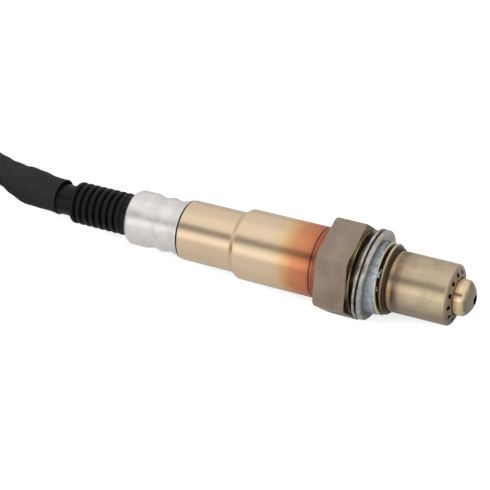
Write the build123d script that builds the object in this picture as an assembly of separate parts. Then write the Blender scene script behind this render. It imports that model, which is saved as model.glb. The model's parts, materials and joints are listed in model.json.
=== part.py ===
from build123d import *
import math
import os

# Screw-in exhaust oxygen sensor with a four-lead cable, in millimetres.
# The origin is the centre of the sealing seat, +X runs along the axis to the nose, +Z is up.
# The sensor lies on one flat of its hexagon, and the cable lies on the same surface.

# General fits and walls
fit_gap = 0.05
slot_gap = 0.1

# Hexagon and sealing seat
hex_across_flats = 22.0
hex_length = 8.2
hex_chamfer = 0.45
seat_collar_radius = 10.4
seat_collar_length = 0.6

# Thread end of the housing
relief_radius = 7.9
relief_length = 4.2
thread_radius = 8.95
thread_length = 2.6
thread_run_in = 0.3
thread_lead_length = 1.5
thread_lead_radius = 7.75
spigot_length = 2.9

# Rear end and bore of the housing
neck_radius = 9.0
neck_length = 1.8
rear_spigot_length = 5.4
housing_bore_radius = 6.2
front_bore_radius = 5.05
bore_shoulder_x = 2.0
rolled_lip_thickness = 0.5
rolled_lip_radius = 5.5

# Outer protection tube
outer_tube_radius = 7.53
outer_tube_wall = 0.4
outer_tube_length = 15.75
outer_tube_corner = 0.65
outer_cone_length = 1.1
outer_cone_opening = 4.6
gas_hole_diameter = 1.2
gas_hole_radius = 5.8
gas_hole_count = 12
gas_hole_first_angle = 10.6

# Inner protection tube
inner_tube_radius = 4.43
inner_tube_wall = 0.35
inner_tube_corner = 0.8
nose_length = 28.2
nose_crown_radius = 5.62
nose_hole_diameter = 2.3

# Crush gasket, loose behind the thread and leaning on the seat
gasket_radius = 11.35
gasket_bore_radius = 8.6
gasket_thickness = 2.35
gasket_rounding = 0.6
gasket_slit_width = 0.35
gasket_slit_depth = 1.5
gasket_slit_offset = 0.75
gasket_stand_off = 1.06
gasket_lean = 5.2
gasket_turn = -1.1

# Ceramic strip and its packing inside the housing
element_width = 4.0
element_thickness = 1.3
element_front_x = 24.5
element_rear_x = -33.0
packing_edge = 0.4
front_bush_length = 7.0
powder_length = 3.5
rear_bush_length = 6.0
press_ring_length = 1.0
press_ring_bore_radius = 3.2

# Protective shell
shell_radius = 8.925
shell_wall = 0.5
shell_length = 21.3
shoulder_length = 1.5
shell_rear_radius = 7.65
shell_rear_length = 14.8
shell_shoulder_rounding = 1.2
shell_rim_rounding = 0.4

# Contact holder, springs and leads
holder_radius = 6.1
holder_front_gap = 1.0
holder_length = 24.0
holder_split = 0.1
holder_front_wall = 2.0
holder_rear_wall = 5.0
holder_pocket_half_height = 2.6
holder_pocket_half_depth = 2.8
spring_thickness = 0.3
spring_width = 0.9
spring_tail_length = 2.5
spring_bow_length = 10.0
spring_root_depth = 2.42
barrel_radius = 1.22
barrel_length = 3.9
lead_radius = 0.95
lead_offset = 1.4
clamp_sheet = 0.3
clamp_length = 4.0
clamp_foot = 1.0
clamp_front_offset = 9.0

# Crimp collar round the grommet: distance from its front rim, radius, rounding
collar_wall = 0.6
collar_gap = 0.25
collar_rim_radius = 7.3
first_waist = (3.6, 6.35, 3.0)
first_bulge = (5.5, 7.06, 1.6)
second_waist = (8.0, 6.35, 2.0)
second_bulge = (10.2, 7.08, 1.6)
collar_end = (15.4, 7.05, 1.3)
grommet_end_distance = 13.1

# Corrugated boot
boot_bore_radius = 3.05
boot_flange_radius = 6.0
boot_flange_length = 1.1
boot_root_radius = 4.95
boot_root_length = 2.85
rib_radius = 5.4
rib_valley_radius = 4.72
rib_pitch = 1.93
rib_count = 8
rib_crest_width = 1.0
rib_foot_width = 1.34
rib_crest_rounding = 0.4
rib_valley_rounding = 0.18
boot_tail_radius = 3.95
boot_tail_length = 8.2

# Woven sleeve where it starts, on the tail of the boot
sleeve_mouth_length = 4.0
sleeve_mouth_bore_radius = 4.05
sleeve_mouth_radius = 4.5
sleeve_stations = ((0.0, 4.95), (4.0, 5.1), (8.0, 4.95), (12.0, 4.25))

# Cable
cord_diameter = 7.6
cord_lie_gap = 0.2
tie_thickness = 0.8
tie_width = 5.0
coil_mean_radius = 38.0
coil_change_angle = 45
tie_angle = 135
cable_route = (
    (-98.5, 0, 0), (-108.5, 2.2, -0.5), (-118.5, 5.5, -2.45), (-127.5, 7.9, -5.15),
    (-136, 9.0, -6.4), (-144, 9.0, -6.4),
)
tail_route = (
    (-136, -74.8, 1.4), (-128.5, -73.9, 1.3), (-121, -72.0, 1.15), (-114, -71.0, 1.0), (-107, -71.0, 1.0),
)

# Connector at the end of the cable
connector_width = 18.0
connector_height = 20.0
connector_length = 26.0
connector_axis_lift = 2.0
connector_rounding = 2.0
gland_length = 10.0
gland_end_radius = 5.2
gland_radius = 6.2
gland_seat = 4.0
port_size = 2.6
port_pitch_y = 8.0
port_pitch_z = 7.0
terminal_size = 2.3
terminal_bore = 1.5
terminal_recess = 1.0
lock_length = 20.0
lock_width = 9.0
lock_thickness = 2.0
lock_groove = 1.2
lock_grip_height = 1.6
lock_grip_length = 3.0

# Places that follow from the sizes
hex_front_x = -seat_collar_length
hex_rear_x = hex_front_x - hex_length
neck_rear_x = hex_rear_x - neck_length
housing_rear_x = neck_rear_x - rear_spigot_length
thread_end_x = relief_length + thread_length
lead_end_x = thread_end_x + thread_lead_length
spigot_end_x = lead_end_x + spigot_length
spigot_radius = outer_tube_radius - outer_tube_wall
floor_z = -hex_across_flats / 2
cone_rear_x = spigot_end_x - spigot_length + outer_tube_length - outer_cone_length
cone_front_x = cone_rear_x + outer_cone_length
cone_turn = math.atan2(outer_tube_radius - outer_cone_opening, outer_cone_length)
front_bush_rear_x = bore_shoulder_x - front_bush_length
powder_rear_x = front_bush_rear_x - powder_length
rear_bush_rear_x = powder_rear_x - rear_bush_length
press_ring_rear_x = rear_bush_rear_x - press_ring_length
packing_radius = housing_bore_radius - fit_gap
shell_shoulder_x = neck_rear_x - shell_length
shell_rear_start_x = shell_shoulder_x - shoulder_length
shell_rim_x = shell_rear_start_x - shell_rear_length
holder_front_x = housing_rear_x - holder_front_gap
holder_rear_x = holder_front_x - holder_length
holder_pocket_rear_x = holder_rear_x + holder_rear_wall
collar_front_x = shell_rim_x - collar_gap
grommet_rear_x = collar_front_x - grommet_end_distance
boot_flange_rear_x = grommet_rear_x - boot_flange_length
boot_ribs_x = boot_flange_rear_x - boot_root_length
boot_tail_x = boot_ribs_x - (rib_count - 1) * rib_pitch - 2 * rib_crest_width
boot_rear_x = boot_tail_x - boot_tail_length
cord_radius = cord_diameter / 2
cord_lie_z = floor_z + tie_thickness + cord_radius
turn_pitch = cord_diameter + cord_lie_gap
lead_places = [(y, z) for y in (-lead_offset, lead_offset) for z in (-lead_offset, lead_offset)]


def turned(*corners):
    """Revolve a closed outline about the X axis; a corner is (x, radius) or (x, radius, rounding)."""
    points = [(corner[0], corner[1]) for corner in corners]
    roundings = [corner[2] if len(corner) > 2 else 0 for corner in corners]
    if any(roundings):
        outline = FilletPolyline(*points, radius=roundings, close=True)
    else:
        outline = Polyline(*points, close=True)
    return revolve(make_face(outline), axis=Axis.X)


def rod(radius, start_x, end_x, y=0.0, z=0.0):
    """A cylinder along X between two stations."""
    middle = (start_x + end_x) / 2
    return Pos(middle, y, z) * Rot(0, 90, 0) * Cylinder(radius, abs(end_x - start_x))


def block(start_x, end_x, width, height, y=0.0, z=0.0):
    """A box along X between two stations."""
    middle = (start_x + end_x) / 2
    return Pos(middle, y, z) * Box(abs(end_x - start_x), width, height)


def strip_slot(start_x, end_x, gap):
    return block(start_x, end_x, element_thickness + 2 * gap, element_width + 2 * gap)


def sensor_housing():
    corner_radius = hex_across_flats / math.sqrt(3)
    prism = extrude(Plane.YZ.offset(hex_rear_x) * RegularPolygon(corner_radius, 6), amount=hex_length)
    trimmed_radius = corner_radius - hex_chamfer
    barrel = turned(
        (hex_rear_x, 0), (hex_rear_x, trimmed_radius), (hex_rear_x + hex_chamfer, corner_radius),
        (hex_front_x - hex_chamfer, corner_radius), (hex_front_x, trimmed_radius), (hex_front_x, 0),
    )
    body = turned(
        (housing_rear_x, 0), (housing_rear_x, shell_radius - shell_wall, rolled_lip_thickness),
        (neck_rear_x, shell_radius - shell_wall), (neck_rear_x, neck_radius),
        (hex_rear_x, neck_radius), (hex_rear_x, seat_collar_radius),
        (0, seat_collar_radius), (0, relief_radius), (relief_length, relief_radius),
        (relief_length + thread_run_in, thread_radius), (thread_end_x, thread_radius),
        (lead_end_x, thread_lead_radius), (lead_end_x, spigot_radius), (spigot_end_x, spigot_radius),
        (spigot_end_x, 0),
    )
    bore = rod(housing_bore_radius, housing_rear_x + rolled_lip_thickness, bore_shoulder_x)
    lip_bore = rod(rolled_lip_radius, housing_rear_x - 1, bore_shoulder_x)
    front_bore = rod(front_bore_radius, 0, spigot_end_x + 1)
    return (prism & barrel) + body - bore - lip_bore - front_bore


def seal_gasket():
    slit_front = gasket_slit_offset + gasket_slit_width
    slit_floor = gasket_radius - gasket_slit_depth
    ring = turned(
        (0, gasket_bore_radius, gasket_rounding / 2), (0, gasket_radius, gasket_slit_offset * 0.4),
        (gasket_slit_offset, gasket_radius), (gasket_slit_offset, slit_floor),
        (slit_front, slit_floor), (slit_front, gasket_radius, gasket_rounding / 2),
        (gasket_thickness, gasket_radius, gasket_rounding),
        (gasket_thickness, gasket_bore_radius, gasket_rounding / 2),
    )
    lean = math.radians(gasket_lean)
    rest_height = (
        floor_z + (gasket_thickness - gasket_rounding) * math.sin(lean)
        + (gasket_radius - gasket_rounding) * math.cos(lean) + gasket_rounding
    )
    return Pos(gasket_stand_off, 0, rest_height) * Rot(0, gasket_lean, gasket_turn) * ring


def outer_protection_tube():
    half_turn = cone_turn / 2
    inner_corner_x = cone_rear_x - outer_tube_wall * math.tan(half_turn)
    inner_front_x = cone_front_x - outer_tube_wall / math.sin(cone_turn)
    inner_rounding = outer_tube_corner - outer_tube_wall
    cup = turned(
        (lead_end_x, spigot_radius + fit_gap / 2), (lead_end_x, outer_tube_radius),
        (cone_rear_x, outer_tube_radius, outer_tube_corner), (cone_front_x, outer_cone_opening),
        (inner_front_x, outer_cone_opening),
        (inner_corner_x, spigot_radius + fit_gap / 2, inner_rounding),
    )
    slope_share = (outer_tube_radius - gas_hole_radius) / (outer_tube_radius - outer_cone_opening)
    hole_x = cone_rear_x + slope_share * outer_cone_length
    tilt = 90 - math.degrees(cone_turn)
    drill = Pos(hole_x, gas_hole_radius, 0) * Rot(0, 0, tilt) * Rot(0, 90, 0) * Cylinder(
        gas_hole_diameter / 2, 4 * outer_tube_wall
    )
    for index in range(gas_hole_count):
        cup -= Rot(gas_hole_first_angle + index * 360 / gas_hole_count, 0, 0) * drill
    return cup


def domed_plug(radius, crown_radius, tip_x, start_x, corner):
    """A solid rod with a spherical crown and a rounded corner between them."""
    centre_x = tip_x - crown_radius
    corner_x = centre_x + math.sqrt(crown_radius ** 2 - radius ** 2)
    half_angle = math.asin(radius / crown_radius) / 2
    crown_middle = (centre_x + crown_radius * math.cos(half_angle), crown_radius * math.sin(half_angle))
    outline = [
        Line((start_x, 0), (tip_x, 0)),
        ThreePointArc((tip_x, 0), crown_middle, (corner_x, radius)),
        Line((corner_x, radius), (start_x, radius)),
        Line((start_x, radius), (start_x, 0)),
    ]
    plug = revolve(make_face(outline), axis=Axis.X)
    corner_edges = [edge for edge in plug.edges().filter_by(GeomType.CIRCLE)
                    if abs(edge.center().X - corner_x) < 0.01 and abs(edge.radius - radius) < 0.01]
    return fillet(corner_edges, corner)


def inner_protection_tube():
    flange_front_x = spigot_end_x + inner_tube_wall
    flange = rod(spigot_radius - fit_gap, spigot_end_x, flange_front_x)
    bore_radius = inner_tube_radius - inner_tube_wall
    skin = domed_plug(inner_tube_radius, nose_crown_radius, nose_length, spigot_end_x, inner_tube_corner)
    hollow = domed_plug(
        bore_radius, nose_crown_radius - inner_tube_wall, nose_length - inner_tube_wall,
        spigot_end_x - 1, inner_tube_corner - inner_tube_wall,
    )
    nose_hole = rod(nose_hole_diameter / 2, nose_length - 2 * inner_tube_wall - 1, nose_length + 1)
    return flange + skin - hollow - nose_hole


def sensor_element():
    return block(
        element_rear_x, element_front_x, element_thickness - fit_gap, element_width - fit_gap
    )


def packing_plug(rear_x, front_x, rounding, gap):
    """A turned plug in the housing bore, with a slot for the ceramic strip."""
    plug = turned(
        (rear_x, 0), (rear_x, packing_radius, rounding), (front_x, packing_radius, rounding), (front_x, 0)
    )
    return plug - strip_slot(rear_x - 1, front_x + 1, gap)


def press_ring():
    return turned(
        (press_ring_rear_x, press_ring_bore_radius), (press_ring_rear_x, packing_radius, fit_gap * 4),
        (rear_bush_rear_x, packing_radius), (rear_bush_rear_x, press_ring_bore_radius),
    )


def protective_shell():
    bore = shell_radius - shell_wall
    rear_bore = shell_rear_radius - shell_wall
    bore_gap = fit_gap / 2
    return turned(
        (neck_rear_x, bore + bore_gap), (neck_rear_x, shell_radius),
        (shell_shoulder_x, shell_radius, shell_shoulder_rounding),
        (shell_rear_start_x, shell_rear_radius, shell_shoulder_rounding - shell_wall),
        (shell_rim_x, shell_rear_radius, shell_rim_rounding), (shell_rim_x, rear_bore),
        (shell_rear_start_x, rear_bore, shell_shoulder_rounding),
        (shell_shoulder_x, bore + bore_gap, shell_shoulder_rounding - shell_wall),
    )


def contact_holder(side):
    """Half of the ceramic contact holder; side is +1 or -1 along Y."""
    barrel = turned(
        (holder_rear_x, 0), (holder_rear_x, holder_radius, packing_edge),
        (holder_front_x, holder_radius, packing_edge), (holder_front_x, 0),
    )
    half = barrel & block(
        holder_rear_x - 1, holder_front_x + 1, 2 * holder_radius, 3 * holder_radius,
        y=side * (holder_radius + holder_split / 2),
    )
    pocket = block(
        holder_pocket_rear_x, holder_front_x - holder_front_wall,
        2 * holder_pocket_half_depth, 2 * holder_pocket_half_height,
    )
    half = half - pocket - strip_slot(holder_front_x - 2 * holder_front_wall, holder_front_x + 1, slot_gap)
    for y, z in lead_places:
        half -= rod(barrel_radius + fit_gap, holder_rear_x - 1, holder_pocket_rear_x + 1, y, z)
    return half


def contact_spring(y, z):
    """Bowed strip that presses on the ceramic strip, with the barrel that grips a lead."""
    side = math.copysign(1, y)
    root_y = side * spring_root_depth
    touch_y = side * (element_thickness + spring_thickness) / 2
    barrel_front_x = holder_pocket_rear_x - fit_gap
    bow_rear_x = barrel_front_x + spring_tail_length
    bow_front_x = bow_rear_x + spring_bow_length
    line = [
        Line((barrel_front_x - spring_tail_length, root_y), (bow_rear_x, root_y)),
        ThreePointArc(
            (bow_rear_x, root_y), ((bow_rear_x + bow_front_x) / 2, touch_y), (bow_front_x, root_y)
        ),
    ]
    strip = extrude(trace(line, spring_thickness), amount=spring_width / 2, both=True)
    barrel = rod(barrel_radius, barrel_front_x - barrel_length, barrel_front_x, y, z)
    barrel -= rod(lead_radius + fit_gap, barrel_front_x - barrel_length - 1, barrel_front_x + 1, y, z)
    strip = Pos(0, 0, z) * strip
    strip -= rod(lead_radius + fit_gap, barrel_front_x - barrel_length - 1, barrel_front_x + 1, y, z)
    return strip + barrel


def contact_clamp_ring():
    front_x = holder_front_x - clamp_front_offset
    foot_radius = holder_radius + fit_gap + clamp_sheet / 2
    crest_radius = shell_radius - shell_wall - fit_gap - clamp_sheet / 2
    rear_x = front_x - clamp_length
    line = Polyline(
        (front_x, foot_radius), (front_x - clamp_foot, foot_radius),
        (front_x - 1.6 * clamp_foot, crest_radius), (rear_x + 1.6 * clamp_foot, crest_radius),
        (rear_x + clamp_foot, foot_radius), (rear_x, foot_radius),
    )
    return revolve(trace(line, clamp_sheet), axis=Axis.X)


def lead_wire(y, z):
    front_x = holder_pocket_rear_x - 2 * fit_gap
    return rod(lead_radius, boot_rear_x, front_x, y, z)


def collar_corners(inset):
    """Corners of the collar from its front rim to its end, moved in by a wall."""
    waves = (first_waist, first_bulge, second_waist, second_bulge)
    rim = [(collar_front_x, collar_rim_radius - inset)]
    return rim + [(collar_front_x - along, radius - inset, rounding) for along, radius, rounding in waves]


def crimp_collar():
    end_along, end_radius, end_rounding = collar_end
    end_x = collar_front_x - end_along
    outer = collar_corners(0) + [(end_x, end_radius, end_rounding)]
    inner = [(end_x + collar_wall, end_radius - collar_wall, end_rounding - collar_wall)]
    inner += collar_corners(collar_wall)[::-1]
    opening_radius = boot_root_radius + fit_gap
    return turned(*outer, (end_x, opening_radius), (end_x + collar_wall, opening_radius), *inner)


def cable_grommet():
    shell_part_radius = shell_rear_radius - shell_wall - fit_gap
    inner_corners = collar_corners(collar_wall + fit_gap)
    last_radius = collar_end[1] - collar_wall - fit_gap
    front_part = turned(
        (holder_rear_x, 0), (holder_rear_x, shell_part_radius, packing_edge),
        (collar_front_x, shell_part_radius, packing_edge), (collar_front_x, 0),
    )
    rear_part = turned(
        (collar_front_x, 0), *inner_corners, (grommet_rear_x, last_radius), (grommet_rear_x, 0)
    )
    grommet = front_part + rear_part
    for y, z in lead_places:
        grommet -= rod(lead_radius + fit_gap, grommet_rear_x - 1, holder_rear_x + 1, y, z)
    return grommet


def corrugated_boot():
    profile = [
        (grommet_rear_x, boot_bore_radius), (grommet_rear_x, boot_flange_radius),
        (boot_flange_rear_x, boot_flange_radius, packing_edge), (boot_flange_rear_x, boot_root_radius),
    ]
    for index in range(rib_count):
        centre_x = boot_ribs_x - rib_crest_width - index * rib_pitch
        foot = rib_foot_width / 2
        crest = rib_crest_width / 2
        first_foot = boot_root_radius if index == 0 else rib_valley_radius
        profile += [
            (centre_x + foot, first_foot, rib_valley_rounding),
            (centre_x + crest, rib_radius, rib_crest_rounding),
            (centre_x - crest, rib_radius, rib_crest_rounding),
            (centre_x - foot, rib_valley_radius, rib_valley_rounding),
        ]
    profile[-1] = (centre_x - foot, boot_tail_radius, rib_valley_rounding)
    profile += [(boot_rear_x, boot_tail_radius), (boot_rear_x, boot_bore_radius)]
    return turned(*profile)


def cord_path(points):
    """Straight runs joined by tangent arcs that are as large as the runs allow; prints their radii."""
    radii = []
    for before, at, after in zip(points, points[1:], points[2:]):
        run_in = Vector(*at) - Vector(*before)
        run_out = Vector(*after) - Vector(*at)
        half_turn = math.radians(run_in.get_angle(run_out)) / 2
        radii.append(0.45 * min(run_in.length, run_out.length) / math.tan(half_turn))
    print("cord radii", [round(radius, 1) for radius in radii])
    return FilletPolyline(*points, radius=radii)


def cord_tube(points):
    path = cord_path(points)
    tube = sweep(Plane(origin=path @ 0, z_dir=path % 0) * Circle(cord_radius), path=path)
    expected = math.pi * cord_radius ** 2 * path.length
    print("tube volume", round(tube.volume, 1), "section times length", round(expected, 1),
          "length", round(path.length, 1))
    return tube


def cable():
    """Flared mouth of the woven sleeve on the boot, its full stretch behind it, and the cable."""
    mouth_x = boot_rear_x + sleeve_mouth_length
    stations = [(boot_rear_x - along, radius) for along, radius in sleeve_stations]
    mouth = turned(
        (mouth_x, sleeve_mouth_bore_radius), (mouth_x, sleeve_mouth_radius), stations[0],
        (boot_rear_x, sleeve_mouth_bore_radius),
    )
    swell = turned((boot_rear_x, 0), *stations, (stations[-1][0], 0))
    tube = cord_tube([(boot_rear_x, 0, 0), *cable_route])
    return mouth + swell + tube


coil_x = cable_route[-1][0]
coil_y = cable_route[-1][1] - coil_mean_radius - turn_pitch


def coil_section(side_turns, stacked_turns):
    """Outer shape of a turn, or of two turns side by side or stacked, in the plane of the coil axis."""
    middle = Pos(coil_mean_radius + side_turns * turn_pitch / 2, cord_lie_z + stacked_turns * turn_pitch / 2)
    if side_turns:
        return middle * SlotOverall(cord_diameter + turn_pitch, cord_diameter)
    if stacked_turns:
        return middle * SlotOverall(cord_diameter + turn_pitch, cord_diameter, rotation=90)
    return middle * Circle(cord_radius)


def coil_arc(section, start_angle, angle):
    """Revolve a section drawn as (radius, height) about the coil axis, from an angle seen from above."""
    upright = Plane(origin=(0, 0, 0), x_dir=(1, 0, 0), z_dir=(0, -1, 0)) * section
    return Pos(coil_x, coil_y, 0) * Rot(0, 0, start_angle) * revolve(upright, Axis.Z, revolution_arc=angle)


def cable_coil():
    side_by_side = coil_arc(coil_section(1, 0), 90, coil_change_angle)
    stacked = coil_arc(coil_section(0, 1), 90 + coil_change_angle, 180 - coil_change_angle)
    single = coil_arc(coil_section(0, 0), 270, 180)
    return side_by_side + stacked + single


def coil_tie():
    sweep_angle = math.degrees(tie_width / coil_mean_radius)
    band = offset(coil_section(0, 1), amount=tie_thickness) - coil_section(0, 1)
    return coil_arc(band, 90 + tie_angle - sweep_angle / 2, sweep_angle)


connector_rear_x = tail_route[-1][0]
connector_y = tail_route[-1][1]
connector_middle_z = floor_z + connector_height / 2
connector_z = connector_middle_z + connector_axis_lift
connector_body_x = connector_rear_x + gland_length - gland_seat
connector_front_x = connector_body_x + connector_length
port_places = [
    (connector_y + side * port_pitch_y / 2, connector_z + level * port_pitch_z / 2)
    for side in (-1, 1) for level in (-1, 1)
]


def cable_tail():
    start = (coil_x, coil_y - coil_mean_radius, cord_lie_z + turn_pitch)
    route = [start, *tail_route[:-2]]
    route += [(tail_route[-2][0], connector_y, connector_z), (connector_rear_x, connector_y, connector_z)]
    return cord_tube(route)


def connector_seal():
    taper = turned(
        (connector_rear_x, 0), (connector_rear_x, gland_end_radius, packing_edge),
        (connector_body_x, gland_radius), (connector_body_x + gland_seat, gland_radius),
        (connector_body_x + gland_seat, 0),
    )
    return Pos(0, connector_y, connector_z) * taper


def connector_housing():
    shell = block(
        connector_body_x, connector_front_x, connector_width, connector_height,
        connector_y, connector_middle_z,
    )
    shell = fillet(shell.edges().filter_by(Axis.X), connector_rounding)
    seat = rod(
        gland_radius + fit_gap, connector_body_x - 1, connector_body_x + gland_seat, connector_y, connector_z
    )
    shell -= seat
    for y, z in port_places:
        shell -= block(connector_body_x, connector_front_x + 1, port_size, port_size, y, z)
    groove_top = connector_middle_z + connector_height / 2
    shell -= block(
        connector_front_x - lock_length, connector_front_x + 1, lock_width + 2 * slot_gap,
        2 * lock_groove, connector_y, groove_top,
    )
    return shell


def connector_lock():
    groove_floor = connector_middle_z + connector_height / 2 - lock_groove
    rear_x = connector_front_x - lock_length + slot_gap
    plate = block(
        rear_x, connector_front_x, lock_width, lock_thickness, connector_y, groove_floor + lock_thickness / 2
    )
    grip = block(
        rear_x, rear_x + lock_grip_length, lock_width, lock_grip_height,
        connector_y, groove_floor + lock_thickness + lock_grip_height / 2,
    )
    return plate + grip


def connector_terminal(y, z):
    front_x = connector_front_x - terminal_recess
    rear_x = connector_body_x + gland_seat
    outer = block(rear_x, front_x, terminal_size, terminal_size, y, z)
    return outer - block(front_x - connector_length / 3, front_x + 1, terminal_bore, terminal_bore, y, z)


parts = {
    "sensor_housing": sensor_housing(),
    "seal_gasket": seal_gasket(),
    "outer_protection_tube": outer_protection_tube(),
    "inner_protection_tube": inner_protection_tube(),
    "sensor_element": sensor_element(),
    "front_ceramic_bush": packing_plug(front_bush_rear_x, bore_shoulder_x, packing_edge, slot_gap),
    "powder_seal": packing_plug(powder_rear_x, front_bush_rear_x, 0, 0),
    "rear_ceramic_bush": packing_plug(rear_bush_rear_x, powder_rear_x, packing_edge, slot_gap),
    "press_ring": press_ring(),
    "protective_shell": protective_shell(),
    "contact_holder_left": contact_holder(1),
    "contact_holder_right": contact_holder(-1),
    "contact_clamp_ring": contact_clamp_ring(),
    "cable_grommet": cable_grommet(),
    "crimp_collar": crimp_collar(),
    "corrugated_boot": corrugated_boot(),
    "cable": cable(),
    "cable_coil": cable_coil(),
    "coil_tie": coil_tie(),
    "cable_tail": cable_tail(),
    "connector_seal": connector_seal(),
    "connector_housing": connector_housing(),
    "connector_lock": connector_lock(),
}
for number, place in enumerate(lead_places, 1):
    parts[f"contact_spring_{number}"] = contact_spring(*place)
    parts[f"lead_wire_{number}"] = lead_wire(*place)
for number, place in enumerate(port_places, 1):
    parts[f"connector_terminal_{number}"] = connector_terminal(*place)

os.makedirs("parts", exist_ok=True)
for name, shape in parts.items():
    export_step(shape, f"parts/{name}.step")
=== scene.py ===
import bmesh
import bpy
import json
import math
from mathutils import Matrix, Vector, noise


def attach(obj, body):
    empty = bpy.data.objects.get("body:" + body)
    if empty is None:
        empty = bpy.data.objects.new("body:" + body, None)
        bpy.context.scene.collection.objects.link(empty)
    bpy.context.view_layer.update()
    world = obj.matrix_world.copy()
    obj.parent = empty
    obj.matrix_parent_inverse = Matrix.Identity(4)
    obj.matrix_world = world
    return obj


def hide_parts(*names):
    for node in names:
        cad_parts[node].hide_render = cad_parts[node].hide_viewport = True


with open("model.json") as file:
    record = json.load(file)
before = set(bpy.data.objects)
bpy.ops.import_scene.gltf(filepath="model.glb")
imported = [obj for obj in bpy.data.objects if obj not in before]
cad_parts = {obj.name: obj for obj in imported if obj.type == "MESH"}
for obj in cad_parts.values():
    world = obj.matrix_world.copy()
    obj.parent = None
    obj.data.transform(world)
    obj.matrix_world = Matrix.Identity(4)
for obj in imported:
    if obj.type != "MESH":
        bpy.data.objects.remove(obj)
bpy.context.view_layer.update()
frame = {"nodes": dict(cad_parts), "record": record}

MM = 0.001
BODY = "root"
SHARP = 32
NEAR = 0.01

# Camera, measured on the photograph: 490 pixels square, places in millimetres
CAMERA_PLACE = (152.35, -249.56, 355.02)
CAMERA_RIGHT = Vector((0.89297, 0.41542, -0.17327))
CAMERA_UP = Vector((-0.22132, 0.74044, 0.63464))
CAMERA_BACK = Vector((0.39194, -0.52836, 0.75314))
FOCAL_PIXELS = 1901
PHOTO_PIXELS = 490
SENSOR_WIDTH = 36.0
FLOOR_Z = -11.0

# Sensor body, in millimetres from the sealing seat
HEX_FLATS = 22.0
HEX_REAR = -8.8
HEX_FRONT = -0.6
HEX_CHAMFER = 0.45
HEX_BLANK_OVER = 0.05
HEX_ROOT = 0.5
SEAT_RADIUS = 10.4
RELIEF_RADIUS = 7.9
THREAD_START = 4.2
THREAD_FULL = 4.5
THREAD_END = 6.8
THREAD_RADIUS = 8.95
THREAD_PITCH = 1.5
THREAD_DEPTH = 0.92
THREAD_FLANK_ANGLE = 60
THREAD_SAMPLING = 0.06
LEAD_END = 8.3
LEAD_RADIUS = 7.75
NECK_RADIUS = 9.0
NECK_REAR = -10.6
NECK_GROOVE = 0.3
NECK_FLARE = 0.4
REAR_BORE = 6.2
FRONT_BORE = 5.05
BORE_STEP = 2.0
SPIGOT_END = 11.2

# Folded gasket: its ring starts at 0 and leans on the seat
GASKET_RADIUS = 11.35
GASKET_BORE = 8.6
GASKET_THICKNESS = 2.35
GASKET_FOLD = (0.72, 0.85, 1.1, 1.22)
GASKET_FOLD_DEPTH = 1.5
GASKET_PLACE = (1.06, 0, 0.4651)
GASKET_LEAN = 5.2
GASKET_TURN = -1.1

# Paste in the thread
PASTE_START = 1.9
PASTE_END = 6.9
PASTE_SAMPLING = 0.14
PASTE_INSIDE = 7.4
PASTE_HIDDEN = 7.7
PASTE_EDGE = 4.9
PASTE_EDGE_DRIFT = 2.2
PASTE_LEVEL = 1.12
PASTE_FEATHER = 0.9

# Protection tubes
TUBE_RADIUS = 7.53
TUBE_WALL = 0.4
TUBE_CORNER = (22.95, 0.65)
TUBE_FRONT = (24.05, 4.6)
GAS_HOLE_RADIUS = 5.8
GAS_HOLE_SIZE = 1.2
GAS_HOLES = 12
GAS_HOLE_FIRST = 10.6
NOSE_RADIUS = 4.43
NOSE_WALL = 0.35
NOSE_TIP = 28.2
NOSE_CROWN = 5.62
NOSE_HOLE = 1.15
NOSE_ROUNDING = 0.5
FLANGE_CLEARANCE = 0.05

# Shell, collar and boot; a wave is its distance behind the collar's rim, its radius and its rounding
SHELL_RADIUS = 8.925
SHELL_WALL = 0.5
SHELL_EASE = 0.03
SHELL_SHOULDER = (-31.9, -33.4)
SHELL_REAR_RADIUS = 7.65
SHELL_RIM = -48.2
COLLAR_FRONT = -48.45
COLLAR_LENGTH = 15.4
COLLAR_WALL = 0.6
COLLAR_FLARE = 7.55
COLLAR_WAVES = ((3.6, 6.35, 3.0), (5.5, 7.06, 1.6), (8.0, 6.35, 2.0), (10.2, 7.08, 1.6))
COLLAR_REAR_RADIUS = 7.05
COLLAR_MOUTH = 5.0
COLLAR_DENTS = 8
COLLAR_DENT_DEPTH = 0.05
COLLAR_DENT_LENGTH = 1.3
COLLAR_DENTED_FROM = 5.6
BOOT_FRONT = -61.55
BOOT_LIP = (1.1, 6.0)
BOOT_NECK = 4.9
BOOT_RIBS = -66.5
BOOT_REAR = -89.3
BOOT_BORE = 3.05
BOOT_TAIL = (0.8, 3.97)
RIB_PITCH = 1.93
RIBS = 8
RIB_ROOT = (0.76, 4.45)
RIB_CREST = (0.46, 5.42)

# Stations where the heat's colours start and end, and where the painted shade at the nose's cone lies; the up
# direction along which the nose's underside is painted darker
SHELL_TINT = (-23.0, -9.6)
WELD_REAR = (-11.6, -11.35)
WELD_FRONT = (-11.15, -10.95)
NOSE_TINT = (LEAD_END, 14.3)
CONE_PAINTED_SHADE = (22.7, 23.4)
DOME_TINT = (23.4, 28.4)
PHOTO_UP = (0.759, 0.651)

# Cable: the diameter of its sleeve, 0.4 more than the CAD cord's, and its coil
CORD = 8.0
MOUTH_X = -85.3
MOUTH_DEPTH = 3.6
SLEEVE_WALL = 0.42
SLEEVE_STEPS = 40
SLEEVE_SAMPLING = 0.9
TURN_PITCH = 8.15
COIL_RADIUS = 38.0
COIL_CENTRE = (-144.0, -36.8)
COIL_TURNS = 1.5
COIL_POINTS = 16
CORD_LIE_Z = -6.4
STRAND = 0.85

# Swells and folds of the sleeve: height, distance from the mouth and spread
SLEEVE_SWELL = (1.0, 9.5, 5.6)
SLEEVE_WAIST = (0.3, 21.0, 6.0)
SLEEVE_FLARE = (0.42, 0.0, 5.0)
SLEEVE_LIP = (0.2, 1.2)
SLEEVE_FLAT = (0.16, 9.0, 7.0)
SLEEVE_CREASES = (0.1, 14.0, 9.0)

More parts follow.
